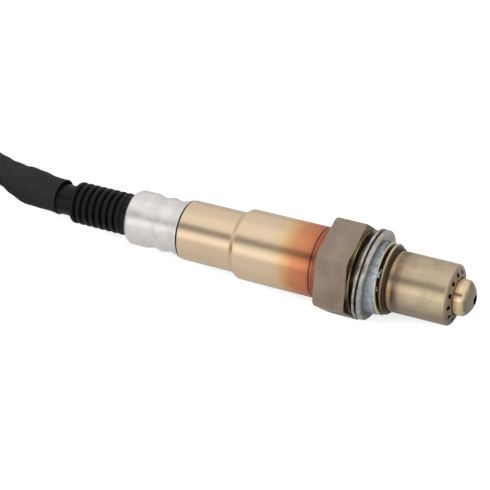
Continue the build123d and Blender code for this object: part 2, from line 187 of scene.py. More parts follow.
# Band round the coil
TIE_ANGLE = 225.0
TIE_WIDTH = 5.0
TIE_INSIDE = 0.02
TIE_OUTSIDE = 0.55
TIE_SOFT_EDGE = 0.14
TIE_STATIONS = 9
TIE_STEPS = 48

# Plug on the cable's end
PLUG_REAR = -101.0
PLUG_FRONT = -75.0
PLUG_Y = -71.0
PLUG_AXIS_Z = 1.0
PLUG_WIDTH = 18.0
PLUG_HEIGHT = 20.0
PLUG_ROUNDING = 2.0
PLUG_RIM = 0.35
PORT_SIZE = 2.6
PORT_PITCH_Y = 8.0
PORT_PITCH_Z = 7.0
PORT_ROUNDING = 0.25
PORT_OVERLAP = 0.5
LOCK_LENGTH = 20.0
LOCK_WIDTH = 9.0
LOCK_GROOVE = 1.2
LOCK_CLEARANCE = 0.1
LOCK_PLATE = 2.0
LOCK_GRIP = (3.0, 3.6)
LOCK_ROUNDING = 0.22
SEAL_LENGTH = 10.0
SEAL_RADIUS = 6.2
SEAL_BORE = 3.2
SEAL_SEAT = 4.0
SEAL_CLEARANCE = 0.05
SEAL_RIBS = (
    (0, 5.2, 0.4), (1.8, 5.48), (2.1, 5.25, 0.2), (2.6, 5.3, 0.2), (2.9, 5.68), (4.2, 5.88),
    (4.5, 5.62, 0.2), (5.0, 5.68, 0.2), (5.3, 6.05))
CUT_PAST = 1

# Studio, in metres; a card is its name, its turn round the sensor, its half width in degrees and its shade
FLOOR_SIZE = 3.0
FLOOR_DROP = 0.05 * MM
FLOOR_GREY = (0.36, 0.36, 0.36)
FLOOR_GLOW = 0.72
WORLD_LIGHT = 0.55
LAMP_AIM = Vector((-0.03, 0, 0))
CARD_MIDDLE = (-0.736, 0.0, 0.677)
CARD_DISTANCE = 0.9
CARD_LENGTH = 2.4
CARDS = (
    ("flag_middle", 18.0, 10.0, 0.2), ("strip_light", -15.0, 9.0, 1.3), ("flag_low", -36.0, 10.5, 0.76),
    ("flag_top", 110.0, 26.0, 0.8))
SCREEN_DISTANCE = 0.03
SCREEN_SIZE = (0.22, 0.024)
SCREEN_SHADE = 0.72


def place_camera():
    data = bpy.data.cameras.new("camera")
    data.sensor_width = SENSOR_WIDTH
    data.lens = SENSOR_WIDTH * FOCAL_PIXELS / PHOTO_PIXELS
    data.clip_start = 0.01
    data.clip_end = 20
    camera = bpy.data.objects.new("camera", data)
    bpy.context.collection.objects.link(camera)
    turn = Matrix((CAMERA_RIGHT, CAMERA_UP, CAMERA_BACK)).transposed()
    camera.matrix_world = Matrix.Translation(Vector(CAMERA_PLACE) * MM) @ turn.to_4x4()
    bpy.context.scene.camera = camera


class Value:
    """One socket of a node tree, with arithmetic on it."""

    def __init__(self, tree, socket):
        self.tree = tree
        self.socket = socket

    def math(self, operation, first, second=None):
        values = {0: first} if second is None else {0: first, 1: second}
        return self.tree.node("ShaderNodeMath", {"operation": operation}, values)

    def __add__(self, other):
        return self.math("ADD", self, other)

    def __radd__(self, other):
        return self.math("ADD", other, self)

    def __sub__(self, other):
        return self.math("SUBTRACT", self, other)

    def __rsub__(self, other):
        return self.math("SUBTRACT", other, self)

    def __mul__(self, other):
        return self.math("MULTIPLY", self, other)

    def __rmul__(self, other):
        return self.math("MULTIPLY", other, self)

    def power(self, other):
        return self.math("POWER", self, other)

    def sine(self):
        return self.math("SINE", self)

    def most(self, other):
        return self.math("MAXIMUM", self, other)

    def ramp(self, low, top_shade_and_blotches, smooth=True):
        """Rises from 0 to 1 between low and high, or falls where low is above high."""
        kind = "SMOOTHSTEP" if smooth else "LINEAR"
        reach = {"Value": self, "From Min": low, "From Max": top_shade_and_blotches}
        if low > top_shade_and_blotches:
            reach = {"Value": self, "From Min": top_shade_and_blotches, "From Max": low, "To Min": 1.0, "To Max": 0.0}
        return self.tree.node("ShaderNodeMapRange", {"interpolation_type": kind, "clamp": True}, reach)


class Tree:
    """A node tree, and the one way in which nodes are added to it."""

    def __init__(self, tree):
        self.nodes = tree.nodes
        self.links = tree.links

    def node(self, kind, settings, values, output=0):
        node = self.nodes.new(kind)
        for key, setting in settings.items():
            if key == "stops":
                self.set_stops(node.color_ramp, setting)
            else:
                setattr(node, key, setting)
        for key, value in values.items():
            self.feed(node.inputs[key], value)
        return Value(self, node.outputs[output])

    def set_stops(self, ramp, stops):
        while len(ramp.elements) < len(stops):
            ramp.elements.new(1.0)
        for element, (position, colour) in zip(ramp.elements, stops):
            element.position = position
            element.color = (*colour, 1.0)

    def feed(self, socket, value):
        if isinstance(value, Value):
            self.links.new(value.socket, socket)
        elif isinstance(value, tuple) and len(value) == 3 and socket.type == "RGBA":
            socket.default_value = (*value, 1.0)
        else:
            socket.default_value = value

    def ray(self, kind):
        return self.node("ShaderNodeLightPath", {}, {}, kind)

    def show(self, output, value):
        self.feed(self.nodes.new(output).inputs["Surface"], value)


class Finish(Tree):
    """A material with one Principled shader; colours are linear, lengths in millimetres."""

    def __init__(self, name, **constants):
        self.material = bpy.data.materials.new(name)
        self.material.use_nodes = True
        super().__init__(self.material.node_tree)
        self.shader = self.nodes["Principled BSDF"]
        self.paint(**constants)

    def place(self):
        """Object coordinates in millimetres."""
        point = self.node("ShaderNodeTexCoord", {}, {}, "Object")
        return self.node("ShaderNodeVectorMath", {"operation": "SCALE"}, {0: point, "Scale": 1 / MM})

    def axes(self, point):
        first = self.node("ShaderNodeSeparateXYZ", {}, {0: point})
        return [Value(self, socket) for socket in first.socket.node.outputs]

    def join(self, x, y, z):
        return self.node("ShaderNodeCombineXYZ", {}, {0: x, 1: y, 2: z})

    def grain(self, point, scale, detail=3.0, roughness=0.5):
        values = {"Vector": point, "Scale": scale, "Detail": detail, "Roughness": roughness}
        return self.node("ShaderNodeTexNoise", {}, values, "Fac")

    def blend(self, factor, first, second):
        """Mix of two colours; the Mix node's colour sockets are its inputs 6 and 7 and its output 2."""
        return self.node("ShaderNodeMix", {"data_type": "RGBA"}, {0: factor, 6: first, 7: second}, 2)

    def spectrum(self, factor, stops):
        return self.node("ShaderNodeValToRGB", {"stops": stops}, {"Fac": factor})

    def bump(self, height, strength, distance):
        values = {"Height": height, "Strength": strength, "Distance": distance * MM}
        return self.node("ShaderNodeBump", {}, values)

    def paint(self, **sockets):
        for socket, value in sockets.items():
            self.feed(self.shader.inputs[socket.replace("_", " ")], value)
        return self.material


def linear(code):
    """A hexadecimal screen colour as linear light."""
    parts = [int(code[i:i + 2], 16) / 255 for i in (0, 2, 4)]
    return tuple(p / 12.92 if p <= 0.04045 else ((p + 0.055) / 1.055) ** 2.4 for p in parts)


def turning_lines(finish, point):
    """Fine marks round the axis, as a lathe or a drawing die leaves."""
    x, y, z = finish.axes(point)
    return finish.grain(finish.join(x * 9.0, y * 0.15, z * 0.15), 1.0, 4.0, 0.7)


def hex_steel():
    """Warm grey-brown steel, blotched on the flats, turned in front with painted glints and shade, with
    painted shade in the thread's grooves and painted highlights on its crests.
    """
    finish = Finish("hex_steel", Metallic=1.0)
    point = finish.place()
    x, y, z = finish.axes(point)
    blotch = finish.grain(point, 0.16, 4.0, 0.6)
    speck = finish.grain(point, 2.2, 3.0, 0.7)
    flat_tone = finish.spectrum(blotch * 0.75 + speck * 0.25, (
        (0.3, linear("8C7B6C")), (0.5, linear("9C8B7B")), (0.7, linear("AA9B8C"))))
    lines = turning_lines(finish, point)
    bump = finish.bump(lines, 0.25, 0.03)
    # partly painted light: the turning marks are real, and their near-black and pale gold colours are painted
    # shade and glints on the turned front
    turned_marks_and_glints = finish.spectrum(lines, (
        (0.35, linear("2E261C")), (0.5, linear("7C6E52")), (0.66, linear("DCCFA8"))))
    front = x.ramp(HEX_FRONT - 0.3, HEX_FRONT)
    neck = finish.blend(1.0 - x.ramp(HEX_REAR - 0.1, HEX_REAR), flat_tone, linear("A5644C"))
    turned = finish.blend(front, neck, turned_marks_and_glints)
    reach = (y * y + z * z).power(0.5)
    threaded = x.ramp(THREAD_START - 0.3, THREAD_START)
    # painted shade and highlight: the thread is coloured darker the deeper it lies in its grooves and lighter
    # on its crests
    groove_shade_crest_highlight = finish.spectrum(reach.ramp(8.1, 8.9), (
        (0.0, linear("2A2018")), (0.4, linear("54442F")), (0.78, linear("B49E78")), (1.0, linear("F2E6C8"))))
    colour = finish.blend(threaded * 0.9, turned, groove_shade_crest_highlight)
    rough = 0.36 - front * 0.1 + speck * 0.12
    return finish.paint(Base_Color=colour, Roughness=rough, Normal=bump)


def gasket_steel():
    finish = Finish("gasket_steel", Metallic=1.0)
    point = finish.place()
    bump = finish.bump(turning_lines(finish, point), 0.2, 0.02)
    haze = finish.grain(point, 0.6, 3.0, 0.6)
    colour = finish.spectrum(haze, (
        (0.3, linear("96928C")), (0.55, linear("B9B5AF")), (0.75, linear("CFCBC6"))))
    return finish.paint(Base_Color=colour, Roughness=0.22 + haze * 0.18, Normal=bump)


def paste_finish():
    finish = Finish("thread_paste")
    point = finish.place()
    cloud = finish.grain(point, 0.9, 4.0, 0.6)
    colour = finish.spectrum(cloud, (
        (0.3, linear("6A7177")), (0.5, linear("82898F")), (0.7, linear("9CA3A8"))))
    bump = finish.bump(finish.grain(point, 2.5, 4.0, 0.6), 0.5, 0.15)
    return finish.paint(Base_Color=colour, Roughness=0.55, Normal=bump)


def nose_steel():
    """Pale gold drawn steel with the weld's brown and purple bands at its root, painted shade at its front
    cone, on its top and on its underside.
    """
    finish = Finish("nose_steel", Metallic=1.0)
    point = finish.place()
    x, y, z = finish.axes(point)
    drift = finish.grain(point, 0.35, 3.0, 0.6)
    bump = finish.bump(turning_lines(finish, point), 0.12, 0.02)
    along = x + (drift - 0.5) * 0.6
    tint = finish.spectrum(along.ramp(*NOSE_TINT, smooth=False), (
        (0.0, linear("A88658")), (0.14, linear("C49A62")), (0.19, linear("7A5440")),
        (0.25, linear("38282A")), (0.31, linear("5E483E")), (0.42, linear("94785E")),
        (0.56, linear("CDB896")), (1.0, linear("E2CEAC"))))
    # painted shade: a darker band painted where the nose meets its front cone
    shade = finish.blend(x.ramp(*CONE_PAINTED_SHADE) * 0.8, tint, linear("74665A"))
    # partly painted shade: the top of the nose is painted browner and darker, and random blotches brown it
    # too
    top_shade_and_blotches = z.ramp(2.0, 7.0) * 0.5 + drift.ramp(0.45, 0.75) * 0.35
    blotched_and_top_shaded = finish.blend(top_shade_and_blotches, shade, linear("A5927C"))
    # painted shade: the nose's underside, low along PHOTO_UP, is painted darker
    height = y * PHOTO_UP[0] + z * PHOTO_UP[1]
    colour = finish.blend(height.ramp(-1.5, -6.8) * 0.75, blotched_and_top_shaded, linear("7E7467"))
    return finish.paint(Base_Color=colour, Roughness=0.27 + drift * 0.12, Normal=bump)


def inner_nose_steel():
    finish = Finish("inner_nose_steel", Metallic=1.0)
    point = finish.place()
    x = finish.axes(point)[0]
    drift = finish.grain(point, 0.5, 3.0, 0.6)
    along = x + (drift - 0.5) * 0.8
    tint = finish.spectrum(along.ramp(*DOME_TINT, smooth=False), (
        (0.0, linear("705240")), (0.15, linear("B08A60")), (0.4, linear("EAD6AA")),
        (0.58, linear("D8C6A0")), (0.68, linear("8A806C")), (1.0, linear("A49D8A"))))
    bump = finish.bump(turning_lines(finish, point), 0.15, 0.02)
    return finish.paint(Base_Color=tint, Roughness=0.16 + drift * 0.1, Normal=bump)


def shell_steel():
    """Champagne steel that turns yellow, orange, copper and purple towards the weld, with painted shade at
    its rear rim.
    """
    finish = Finish("shell_steel", Metallic=1.0)
    point = finish.place()
    x = finish.axes(point)[0]
    drift = finish.grain(point, 0.12, 4.0, 0.6)
    lines = turning_lines(finish, point)
    bump = finish.bump(lines, 0.12, 0.02)
    along = x + (drift - 0.5) * 3.5
    tint = finish.spectrum(along.ramp(*SHELL_TINT, smooth=False), (
        (0.0, linear("E8CFB0")), (0.22, linear("E6C9A0")), (0.38, linear("E0B07A")),
        (0.52, linear("D8926A")), (0.78, linear("CE8059")), (0.92, linear("B96A4C")),
        (1.0, linear("9C5C48"))))
    worn = finish.blend(drift.ramp(0.5, 0.8) * 0.2, tint, linear("D2B692"))
    weld = x.ramp(*WELD_REAR) * (1.0 - x.ramp(*WELD_FRONT))
    seam = finish.blend(weld, worn, linear("55403F"))
    # painted shade: the shell's last 0.1 to 0.4 mm before its rim is painted near-black, as the shadowed slot
    # to the collar
    colour = finish.blend(1.0 - x.ramp(SHELL_RIM + 0.1, SHELL_RIM + 0.4), seam, linear("2C2218"))
    return finish.paint(Base_Color=colour, Roughness=0.24 + lines * 0.1, Normal=bump)


def collar_silver():
    finish = Finish("collar_silver", Metallic=1.0)
    point = finish.place()
    haze = finish.grain(point, 0.5, 4.0, 0.65)
    colour = finish.spectrum(haze, (
        (0.3, linear("E2DDD9")), (0.5, linear("ECE8E4")), (0.7, linear("F2EFEC"))))
    bump = finish.bump(finish.grain(point, 0.9, 3.0, 0.6), 0.1, 0.05)
    return finish.paint(Base_Color=colour, Roughness=0.36 + haze * 0.08, Normal=bump)


def boot_rubber():
    finish = Finish("boot_rubber", Specular_IOR_Level=0.17)
    point = finish.place()
    haze = finish.grain(point, 0.8, 4.0, 0.6)
    colour = finish.spectrum(haze, ((0.35, linear("050608")), (0.65, linear("0C0D11"))))
    bump = finish.bump(finish.grain(point, 6.0, 3.0, 0.6), 0.12, 0.03)
    return finish.paint(Base_Color=colour, Roughness=0.3 + haze * 0.16, Normal=bump)


def woven_sleeve():
    """Fine braid of a sleeve: U runs round and V along it, both in millimetres."""
    finish = Finish("woven_sleeve", Specular_IOR_Level=0.22)
    point = finish.node("ShaderNodeTexCoord", {}, {}, "UV")
    u, v = finish.axes(point)[:2]
    strands = 2 * math.pi / STRAND
    first = ((u + v) * strands).sine()
    second = ((u - v) * strands).sine()
    over = first.most(second)
    fibre = finish.grain(finish.join(u * 5.0, v * 5.0, 0.0), 1.0, 3.0, 0.7)
    height = over * 0.7 + fibre * 0.3
    wear = finish.grain(finish.join(u * 0.25, v * 0.25, 0.0), 1.0, 3.0, 0.6)
    # partly painted light: the colour is darker in the weave's hollows and lighter on its crossings as
    # painted shade and highlight, and the wear noise varies it at random
    colour = finish.spectrum(height * 0.6 + wear * 0.4, (
        (0.2, linear("0C0C0F")), (0.5, linear("17171A")), (0.85, linear("28282C"))))
    bump = finish.bump(height, 0.35, 0.08)
    return finish.paint(Base_Color=colour, Roughness=0.7, Normal=bump)


def moulded(name, dark, light, rough):
    finish = Finish(name)
    point = finish.place()
    grain = finish.grain(point, 3.0, 4.0, 0.6)
    colour = finish.spectrum(grain, ((0.35, linear(dark)), (0.65, linear(light))))
    bump = finish.bump(finish.grain(point, 8.0, 2.0, 0.5), 0.15, 0.03)
    return finish.paint(Base_Color=colour, Roughness=rough + grain * 0.12, Normal=bump)


def plain_metal(name, dark, light, rough):
    finish = Finish(name, Metallic=1.0)
    point = finish.place()
    grain = finish.grain(point, 1.5, 3.0, 0.6)
    colour = finish.spectrum(grain, ((0.35, linear(dark)), (0.65, linear(light))))
    return finish.paint(Base_Color=colour, Roughness=rough + grain * 0.15)


def add_outline(bm, corners):
    """A closed outline of (x, radius) or (x, radius, rounding) corners in the XY plane."""
    verts = [bm.verts.new((corner[0], corner[1], 0)) for corner in corners]
    for pair in zip(verts, verts[1:] + verts[:1]):
        bm.edges.new(pair)
    for index, corner in enumerate(corners):
        if len(corner) < 3 or not corner[2]:
            continue
        here = Vector(corner[:2])
        before = Vector(corners[index - 1][:2]) - here
        after = Vector(corners[(index + 1) % len(corners)][:2]) - here
        half_turn = (math.pi - before.angle(after)) / 2
        bmesh.ops.bevel(
            bm, geom=[verts[index]], offset=corner[2] * math.tan(half_turn), offset_type="OFFSET",
            segments=6, profile=0.5, affect="VERTICES", material=-1,
        )


def lathe(corners, steps=160):
    """Turn a closed outline about the X axis into a closed mesh."""
    bm = bmesh.new()
    add_outline(bm, corners)
    bmesh.ops.spin(
        bm, geom=bm.verts[:] + bm.edges[:], cent=(0, 0, 0), axis=(1, 0, 0),
        steps=steps, angle=2 * math.pi, use_merge=True,
    )
    bmesh.ops.remove_doubles(bm, verts=bm.verts[:], dist=0.002)
    bmesh.ops.recalc_face_normals(bm, faces=bm.faces[:])
    return bm


def made(name, bm, scale=1.0):
    """An object with the shape of a bmesh."""
    bmesh.ops.scale(bm, vec=(scale, scale, scale), verts=bm.verts[:])
    mesh = bpy.data.meshes.new(name)
    bm.to_mesh(mesh)
    bm.free()
    item = bpy.data.objects.new(name, mesh)
    bpy.context.collection.objects.link(item)
    return item


def smooth(mesh, sharp):
    for polygon in mesh.polygons:
        polygon.use_smooth = True
    mesh.set_sharp_from_angle(angle=math.radians(sharp))


def finished(name, bm, material, nodes=(), sharp=SHARP):
    """Turn a bmesh in millimetres into a piece of the part."""
    piece = made(name, bm, MM)
    smooth(piece.data, sharp)
    piece.data.materials.append(material)
    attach(piece, BODY)
    if nodes:
        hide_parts(*nodes)
    return piece


def bored(piece, cutters):
    """Cut holes into a piece with a mesh of drills."""
    modifier = piece.modifiers.new("holes", "BOOLEAN")
    modifier.operation = "DIFFERENCE"
    modifier.solver = "EXACT"
    modifier.object = cutters
    bpy.context.view_layer.update()
    graph = bpy.context.evaluated_depsgraph_get()
    mesh = bpy.data.meshes.new_from_object(piece.evaluated_get(graph))
    piece.modifiers.clear()
    piece.data = mesh
    bpy.data.objects.remove(cutters)
    smooth(mesh, SHARP)
    return piece


def reach_of(vert):
    return math.hypot(vert.co.y, vert.co.z)


def round_angle(vert):
    return math.atan2(vert.co.z, vert.co.y)


def widen(vert, share):
    """Move a vertex straight away from the X axis."""
    vert.co.y *= share
    vert.co.z *= share


def thread_height(x, angle):
    """Radius of the right-hand thread at a station and an angle round the axis."""
    phase = (x / THREAD_PITCH - angle / (2 * math.pi)) % 1.0
    away = abs(phase - 0.5) * THREAD_PITCH
    crest_half = THREAD_PITCH / 16
    flank = THREAD_DEPTH / math.tan(math.radians(THREAD_FLANK_ANGLE))
    drop = min(max((away - crest_half) / flank, 0.0), 1.0)
    return THREAD_RADIUS - THREAD_DEPTH * drop


def hexagon():
    """A chamfered blank with six flats milled on it."""
    corner = HEX_FLATS / math.sqrt(3)
    blank = corner + HEX_BLANK_OVER
    head = lathe((
        (HEX_REAR, 0), (HEX_REAR, corner - HEX_CHAMFER), (HEX_REAR + HEX_CHAMFER, blank),
        (HEX_FRONT - HEX_CHAMFER, blank), (HEX_FRONT, corner - HEX_CHAMFER), (HEX_FRONT, 0)), 192)
    for side in range(6):
        angle = math.radians(30 + 60 * side)
        across = Vector((0, math.cos(angle), math.sin(angle)))
        cut = bmesh.ops.bisect_plane(
            head, geom=head.verts[:] + head.edges[:] + head.faces[:], dist=1e-5,
            plane_co=across * HEX_FLATS / 2, plane_no=across, clear_outer=True,
        )
        rim = [item for item in cut["geom_cut"] if isinstance(item, bmesh.types.BMEdge)]
        bmesh.ops.edgenet_fill(head, edges=rim)
    bmesh.ops.recalc_face_normals(head, faces=head.faces[:])
    return head


def threaded_body():
    """Neck, seat, relief, thread and spigot as one turned shape with its stepped bore."""
    count = int((LEAD_END - THREAD_START) / THREAD_SAMPLING)
    body = lathe((
        (NECK_REAR, NECK_RADIUS - SHELL_WALL), (NECK_REAR, NECK_RADIUS, 0.15),
        (HEX_REAR - NECK_GROOVE, NECK_RADIUS, 0.2), (HEX_REAR, NECK_RADIUS + NECK_FLARE),
        (HEX_REAR + HEX_ROOT, NECK_RADIUS), (HEX_FRONT - HEX_ROOT, SEAT_RADIUS - HEX_ROOT),
        (HEX_FRONT, SEAT_RADIUS), (0, SEAT_RADIUS, 0.12), (0, RELIEF_RADIUS, 0.2),
        *[(THREAD_START + THREAD_SAMPLING * i, RELIEF_RADIUS) for i in range(count + 1)],
        (LEAD_END, TUBE_RADIUS - TUBE_WALL), (SPIGOT_END, TUBE_RADIUS - TUBE_WALL),
        (SPIGOT_END, FRONT_BORE), (BORE_STEP, FRONT_BORE), (BORE_STEP, REAR_BORE), (NECK_REAR, REAR_BORE)))
    for vert in body.verts:
        x = vert.co.x
        reach = reach_of(vert)
        if not THREAD_START - NEAR < x < LEAD_END + NEAR or abs(reach - RELIEF_RADIUS) > 2 * NEAR:
            continue
        rise = (x - THREAD_START) / (THREAD_FULL - THREAD_START)
        fall = (x - THREAD_END) / (LEAD_END - THREAD_END)
        ceiling = min(
            RELIEF_RADIUS + rise * (THREAD_RADIUS - RELIEF_RADIUS),
            THREAD_RADIUS - fall * (THREAD_RADIUS - LEAD_RADIUS) if fall > 0 else THREAD_RADIUS,
        )
        widen(vert, min(thread_height(x, round_angle(vert)), ceiling) / reach)
    return body


def sensor_housing():
    """Milled hexagon and turned body with its thread, as one piece."""
    head = hexagon()
    body = threaded_body()
    spare = bpy.data.meshes.new("spare")
    head.to_mesh(spare)
    head.free()
    body.from_mesh(spare)
    bpy.data.meshes.remove(spare)
    return finished("sensor_housing_turned", body, hex_steel(), ["sensor_housing"])


def seal_gasket():
    """Folded crush ring, leaning on the seat."""
    rear_lip, fold_start, fold_end, front_lip = GASKET_FOLD
    fold_floor = GASKET_RADIUS - GASKET_FOLD_DEPTH
    ring = lathe((
        (0, GASKET_BORE, 0.3), (0, GASKET_RADIUS, 0.34), (rear_lip, GASKET_RADIUS, 0.25),
        (fold_start, fold_floor), (fold_end, fold_floor), (front_lip, GASKET_RADIUS, 0.3),
        (GASKET_THICKNESS, GASKET_RADIUS, 0.6), (GASKET_THICKNESS, GASKET_BORE, 0.35)))
    lean = Matrix.Rotation(math.radians(GASKET_LEAN), 4, "Y")
    tilt = lean @ Matrix.Rotation(math.radians(GASKET_TURN), 4, "Z")
    bmesh.ops.transform(ring, matrix=Matrix.Translation(GASKET_PLACE) @ tilt, verts=ring.verts[:])
    return finished("seal_gasket_folded", ring, gasket_steel(), ["seal_gasket"])


def thread_paste():
    """Grey paste that fills the first turns of the thread and lies patchy in front of the gasket."""
    count = int((PASTE_END - PASTE_START) / PASTE_SAMPLING)
    stations = [(PASTE_START + PASTE_SAMPLING * i, RELIEF_RADIUS) for i in range(count + 1)]
    band = lathe(stations + [(PASTE_END, PASTE_INSIDE), (PASTE_START, PASTE_INSIDE)], 256)
    towards_camera = -CAMERA_UP * 0.35 + CAMERA_BACK * 0.75
    for vert in band.verts:
        reach = reach_of(vert)
        if reach < RELIEF_RADIUS - 2 * NEAR:
            continue
        facing = vert.co.normalized().dot(towards_camera)
        lumps = noise.noise(Vector(vert.co) * 0.55) * 0.5 + noise.noise(Vector(vert.co) * 1.7) * 0.22
        edge = PASTE_EDGE + PASTE_EDGE_DRIFT * facing + lumps
        level = PASTE_LEVEL + 0.1 * lumps
        fade = min(max((edge - vert.co.x) / PASTE_FEATHER, 0.0), 1.0)
        widen(vert, (PASTE_HIDDEN + (RELIEF_RADIUS - PASTE_HIDDEN + level) * fade) / reach)
    return finished("thread_paste", band, paste_finish(), sharp=80)


def outer_protection_tube():
    """Drawn cup with a ring of gas holes cut square to its front cone."""
    corner_x, rounding = TUBE_CORNER
    front_x, opening = TUBE_FRONT
    slope = math.atan2(TUBE_RADIUS - opening, front_x - corner_x)
    inner_x = corner_x - TUBE_WALL * math.tan(slope / 2)
    tube = lathe((
        (LEAD_END, TUBE_RADIUS - TUBE_WALL), (LEAD_END, TUBE_RADIUS, 0.08),
        (corner_x, TUBE_RADIUS, rounding), (front_x, opening, 0.12),
        (front_x - TUBE_WALL / math.sin(slope), opening, 0.08),
        (inner_x, TUBE_RADIUS - TUBE_WALL, rounding - TUBE_WALL)), 192)
    piece = finished("outer_tube_drawn", tube, nose_steel(), ["outer_protection_tube"])
    share = (TUBE_RADIUS - GAS_HOLE_RADIUS) / (TUBE_RADIUS - opening)
    middle = Vector((corner_x + share * (front_x - corner_x), GAS_HOLE_RADIUS, 0))
    lean = Matrix.Rotation(math.pi / 2 - slope, 4, "Z") @ Matrix.Rotation(math.pi / 2, 4, "Y")
    drills = bmesh.new()
    for index in range(GAS_HOLES):
        spot = Matrix.Rotation(math.radians(GAS_HOLE_FIRST + index * 360 / GAS_HOLES), 4, "X")
        bmesh.ops.create_cone(
            drills, cap_ends=True, segments=32, radius1=GAS_HOLE_SIZE / 2, radius2=GAS_HOLE_SIZE / 2,
            depth=4 * TUBE_WALL, matrix=spot @ Matrix.Translation(middle) @ lean,
        )
    return bored(piece, made("drills", drills, MM))


def crown(centre_x, radius, from_radius, to_radius, count=12):
    """Points on a spherical crown between two distances from the axis."""
    first = math.asin(from_radius / radius)
    last = math.asin(to_radius / radius)
    angles = [first + (last - first) * i / count for i in range(count + 1)]
    return [(centre_x + radius * math.cos(a), radius * math.sin(a)) for a in angles]


def inner_protection_tube():
    """Drawn cup with a flange on the spigot and a domed nose with one hole."""
    centre = NOSE_TIP - NOSE_CROWN
    outer = crown(centre, NOSE_CROWN, NOSE_RADIUS, NOSE_HOLE)
    inner = crown(centre, NOSE_CROWN - NOSE_WALL, NOSE_HOLE, NOSE_RADIUS - NOSE_WALL)
    outer[0] = (*outer[0], NOSE_ROUNDING)
    flange = TUBE_RADIUS - TUBE_WALL - FLANGE_CLEARANCE
    tube = lathe((
        (SPIGOT_END, NOSE_RADIUS - NOSE_WALL), (SPIGOT_END, flange), (SPIGOT_END + NOSE_WALL, flange),
        (SPIGOT_END + NOSE_WALL, NOSE_RADIUS, 0.3), *outer, *inner))
    return finished("inner_tube_drawn", tube, inner_nose_steel(), ["inner_protection_tube"])


def protective_shell():
    """Drawn sleeve from the neck to its rim, with one shoulder."""
    shoulder, rear_start = SHELL_SHOULDER
    bore = SHELL_RADIUS - SHELL_WALL + SHELL_EASE
    rear_bore = SHELL_REAR_RADIUS - SHELL_WALL
    shell = lathe((
        (NECK_REAR, bore), (NECK_REAR, SHELL_RADIUS, 0.1),
        (shoulder, SHELL_RADIUS, 1.3), (rear_start, SHELL_REAR_RADIUS, 1.0),
        (SHELL_RIM, SHELL_REAR_RADIUS, 0.45), (SHELL_RIM, rear_bore),
        (rear_start, rear_bore, 1.2), (shoulder, bore, 0.8)))
    return finished("protective_shell_drawn", shell, shell_steel(), ["protective_shell"])


def crimp_collar():
    """Rolled collar with two waists, flared at its front rim."""
    front = COLLAR_FRONT
    rear = front - COLLAR_LENGTH
    outer = [(front - along, radius, rounding) for along, radius, rounding in COLLAR_WAVES]
    inner = [(x, radius - COLLAR_WALL, rounding) for x, radius, rounding in reversed(outer)]
    collar = lathe((
        (front, COLLAR_FLARE - COLLAR_WALL, 0.1), (front, COLLAR_FLARE, 0.25), (front - 1.5, 7.0, 0.8),
        *outer, (rear, COLLAR_REAR_RADIUS, 1.5), (rear, COLLAR_MOUTH, 0.1),
        (rear + COLLAR_WALL, COLLAR_MOUTH), (rear + COLLAR_WALL, COLLAR_REAR_RADIUS - COLLAR_WALL, 0.7),
        *inner), 240)
    waists = [wave[0] for wave in COLLAR_WAVES[::2]]
    for vert in collar.verts:
        reach = reach_of(vert)
        if reach < COLLAR_DENTED_FROM:
            continue
        along = front - vert.co.x
        near_waist = sum(math.exp(-((along - waist) / COLLAR_DENT_LENGTH) ** 2) for waist in waists)
        dent = COLLAR_DENT_DEPTH * near_waist * math.cos(COLLAR_DENTS * round_angle(vert) + 0.5)
        widen(vert, 1 + dent / reach)
    return finished("crimp_collar_rolled", collar, collar_silver(), ["crimp_collar"])


def corrugated_boot():
    """Rubber boot: a lip in the collar, round ribs and a plain tail in the sleeve."""
    lip_length, lip_radius = BOOT_LIP
    root_half, root = RIB_ROOT
    crest_half, crest = RIB_CREST
    tail_gap, tail = BOOT_TAIL
    corners = [
        (BOOT_FRONT, BOOT_BORE), (BOOT_FRONT, lip_radius), (BOOT_FRONT - lip_length, lip_radius),
        (BOOT_FRONT - lip_length, BOOT_NECK),
    ]
    for rib in range(RIBS):
        centre = BOOT_RIBS - rib * RIB_PITCH
        corners += [
            (centre + root_half, BOOT_NECK if rib == 0 else root, 0.12), (centre + crest_half, crest, 0.42),
            (centre - crest_half, crest, 0.42), (centre - root_half, root, 0.12),
        ]
    corners[-1] = (centre - tail_gap, tail, 0.3)
    corners += [(BOOT_REAR, tail, 0.1), (BOOT_REAR, BOOT_BORE)]
    return finished(
        "corrugated_boot_ribbed", lathe(corners, 128), boot_rubber(), ["corrugated_boot"],
        sharp=60,
    )


def cable_line():
    """The cable's control points: out of the boot, down to the floor, round the coil, to the connector.

    The line only touches the middles of its control polygon, so the coil's points lie outside it by lift.
    """
    points = [
        (MOUTH_X, 0.3, 0.2), (-95.5, 0.8, 0.4), (-103.0, 2.9, 0.8), (-110.5, 5.4, 0.0),
        (-118.5, 7.4, -2.2), (-127.0, 8.6, -4.9), (-135.5, 9.0, -6.4),
    ]
    lift = 1 / math.cos(math.pi / COIL_POINTS)
    for step in range(round(COIL_POINTS * COIL_TURNS) + 1):
        turned = 2 * math.pi * step / COIL_POINTS
        outward = TURN_PITCH * max(math.cos(turned), 0.0) if turned < math.pi / 2 else 0.0
        raised = 0.0
        if turned > 2 * math.pi:
            raised = TURN_PITCH * math.sin(min(turned - 2 * math.pi, math.pi / 2))
        radius = (COIL_RADIUS + outward) * lift
        angle = math.pi / 2 + turned
        points.append((
            COIL_CENTRE[0] + radius * math.cos(angle), COIL_CENTRE[1] + radius * math.sin(angle),
            CORD_LIE_Z + raised,
        ))
    points += [
        (-136.0, -74.8, 1.4), (-128.5, -73.9, 1.3), (-121.0, -72.0, 1.15), (-114.0, -71.0, 1.0),
        (-107.0, -71.0, 1.0),
    ]
    return points


